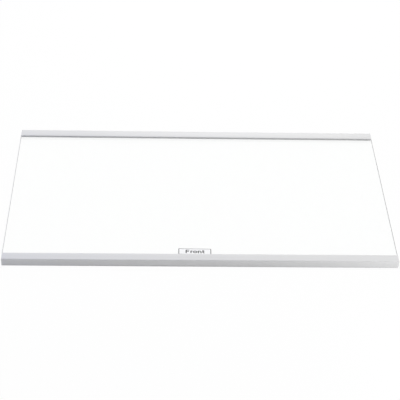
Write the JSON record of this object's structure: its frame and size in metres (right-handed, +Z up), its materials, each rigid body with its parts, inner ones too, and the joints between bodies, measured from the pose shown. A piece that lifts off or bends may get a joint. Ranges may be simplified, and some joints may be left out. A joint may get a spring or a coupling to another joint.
{
  "type": "fridge glass shelf",
  "caption": "Flat toughened glass fridge shelf with pale grey plastic trims gripping its front and rear edges and a small paper label on the glass that marks the front.",
  "frame": {"origin": "centre of the shelf's footprint, on the plane of the trims' feet", "axes": "+X across the shelf to the right, +Y from the front edge to the rear edge, +Z up"},
  "size_m": [0.52, 0.285, 0.0116],
  "materials": {
    "clear_glass": "clear toughened float glass with ground edges",
    "grey_plastic": "satin, extruded",
    "label_paper": "matt white self-adhesive paper"
  },
  "bodies": {
    "root": {"glass_panel": "clear_glass", "front_trim": "grey_plastic", "rear_trim": "grey_plastic", "front_label": "label_paper"}
  },
  "joints": []
}
